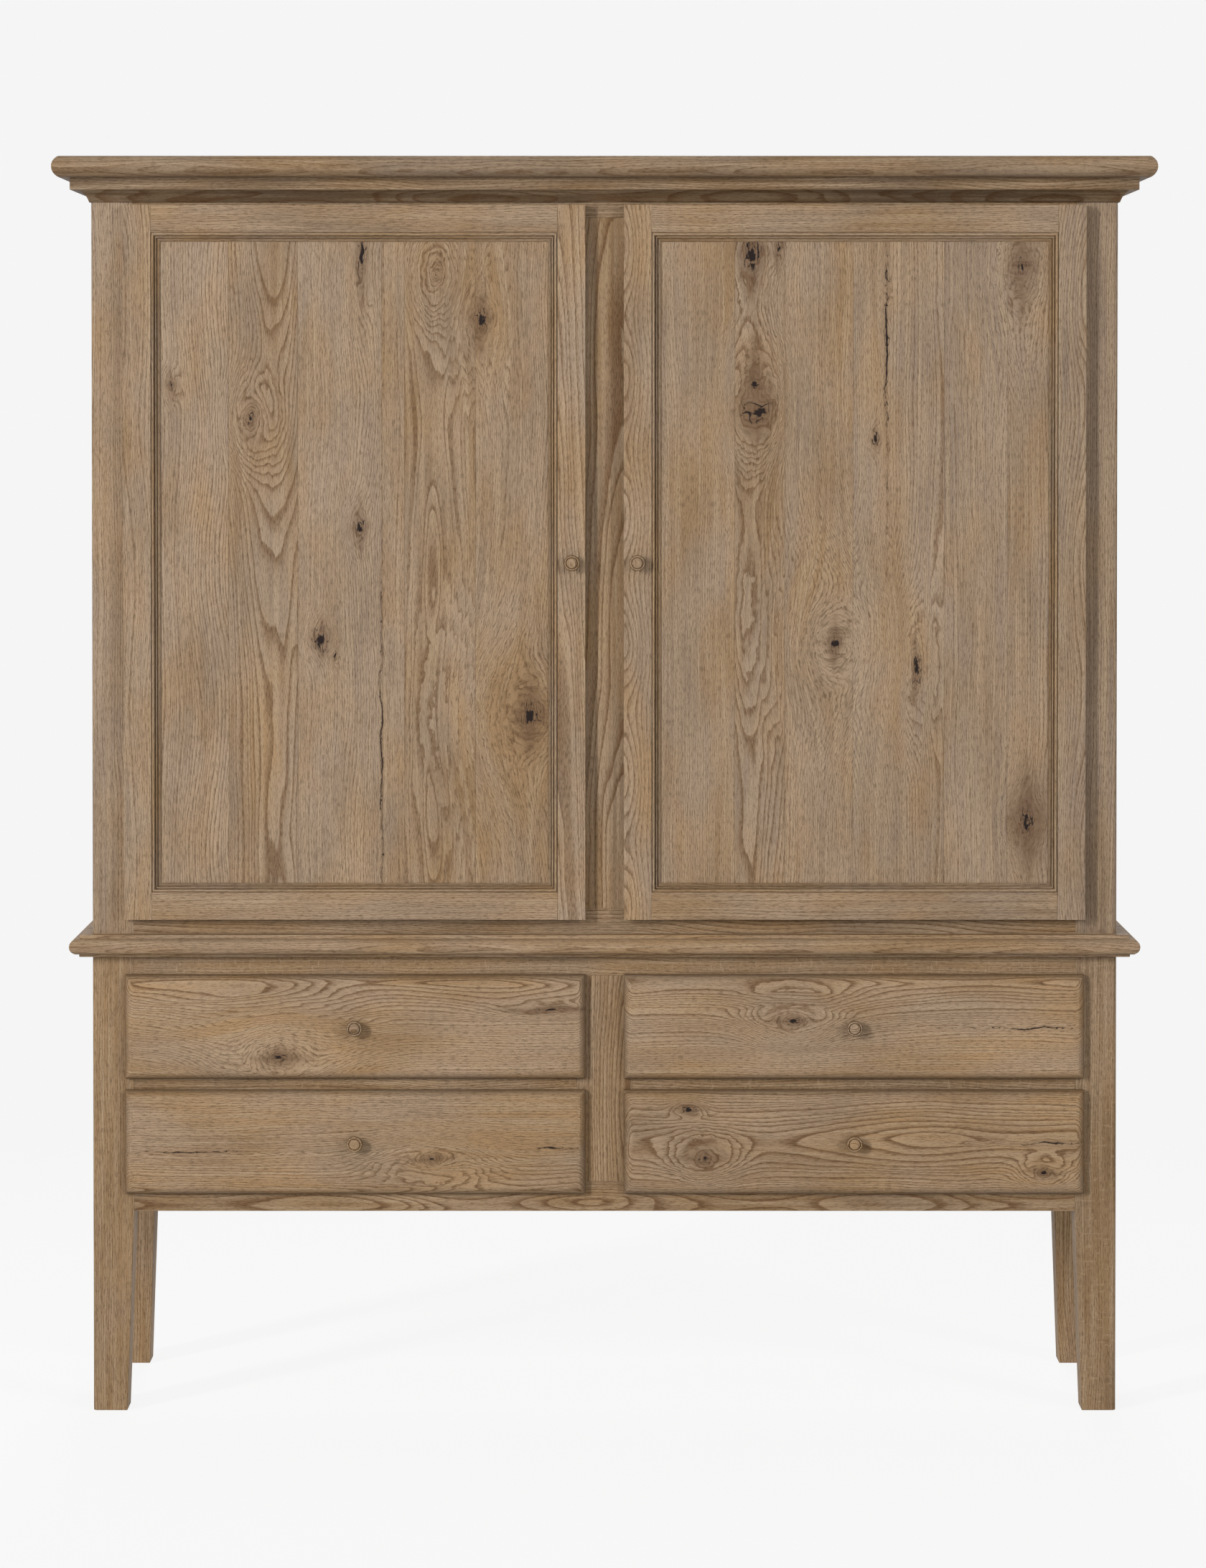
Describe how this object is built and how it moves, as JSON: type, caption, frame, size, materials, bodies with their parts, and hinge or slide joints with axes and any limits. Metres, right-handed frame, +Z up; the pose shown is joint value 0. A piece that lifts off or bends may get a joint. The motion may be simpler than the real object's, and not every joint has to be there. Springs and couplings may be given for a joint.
{
  "type": "armoire",
  "caption": "Tall wooden armoire on tapered legs: panelled cupboard doors on concealed hinges over lipped drawers, with moulded waist and cornice.",
  "frame": {"origin": "on the floor, under the centre of the overall box, cornice included", "axes": "+Z up, +X to the right as seen from the front, +Y to the back; the doors and drawers face -Y"},
  "size_m": [2, 0.555, 2.29],
  "materials": {
    "oak": "matt, lightly greyed and waxed",
    "inner_oak": "plain oiled, inside faces",
    "steel": "nickel plated, satin"
  },
  "bodies": {
    "carcass": {"base_back": "inner_oak", "base_bottom_rail": "oak", "base_centre_stile": "oak", "base_middle_rails": "oak", "base_partition": "inner_oak", "base_side_left": "oak", "base_side_right": "oak", "base_top_rail": "oak", "cabinet_back": "inner_oak", "cabinet_bottom_rail": "oak", "cabinet_ceiling": "inner_oak", "cabinet_floor": "inner_oak", "cabinet_mullion": "oak", "cabinet_partition": "inner_oak", "cabinet_post_left": "oak", "cabinet_post_right": "oak", "cabinet_rear_posts": "oak", "cabinet_side_left": "oak", "cabinet_side_right": "oak", "cabinet_top_rail": "oak", "cornice_cap": "oak", "cornice_moulding": "oak", "drawer_runners": "inner_oak", "front_leg_left": "oak", "front_leg_right": "oak", "hanging_rail": "steel", "left_hinge_arms": "steel", "rail_sockets": "steel", "rear_leg_left": "oak", "rear_leg_right": "oak", "right_hinge_arms": "steel", "shelf_1": "inner_oak", "shelf_2": "inner_oak", "shelf_3": "inner_oak", "shelf_cleats": "inner_oak", "waist_top": "oak"},
    "left_door": {"left_door_beads": "oak", "left_door_hinge_cups": "steel", "left_door_knob": "oak", "left_door_panel": "oak", "left_door_rails": "oak", "left_door_stiles": "oak"},
    "right_door": {"right_door_beads": "oak", "right_door_hinge_cups": "steel", "right_door_knob": "oak", "right_door_panel": "oak", "right_door_rails": "oak", "right_door_stiles": "oak"},
    "drawer_upper_left": {"drawer_upper_left_box": "inner_oak", "drawer_upper_left_front": "oak", "drawer_upper_left_knob": "oak"},
    "drawer_upper_right": {"drawer_upper_right_box": "inner_oak", "drawer_upper_right_front": "oak", "drawer_upper_right_knob": "oak"},
    "drawer_lower_left": {"drawer_lower_left_box": "inner_oak", "drawer_lower_left_front": "oak", "drawer_lower_left_knob": "oak"},
    "drawer_lower_right": {"drawer_lower_right_box": "inner_oak", "drawer_lower_right_front": "oak", "drawer_lower_right_knob": "oak"}
  },
  "joints": [
    {"name": "left_door_hinge", "type": "hinge", "parent": "carcass", "child": "left_door", "pos_m": [-0.8655, -0.226, 1.5525], "axis": [0, 0, -1], "range_deg": [0, 95]},
    {"name": "right_door_hinge", "type": "hinge", "parent": "carcass", "child": "right_door", "pos_m": [0.8655, -0.226, 1.5525], "axis": [0, 0, 1], "range_deg": [0, 95]},
    {"name": "drawer_upper_left_slide", "type": "slide", "parent": "carcass", "child": "drawer_upper_left", "axis": [0, -1, 0], "range_m": [0, 0.36]},
    {"name": "drawer_upper_right_slide", "type": "slide", "parent": "carcass", "child": "drawer_upper_right", "axis": [0, -1, 0], "range_m": [0, 0.36]},
    {"name": "drawer_lower_left_slide", "type": "slide", "parent": "carcass", "child": "drawer_lower_left", "axis": [0, -1, 0], "range_m": [0, 0.36]},
    {"name": "drawer_lower_right_slide", "type": "slide", "parent": "carcass", "child": "drawer_lower_right", "axis": [0, -1, 0], "range_m": [0, 0.36]}
  ]
}
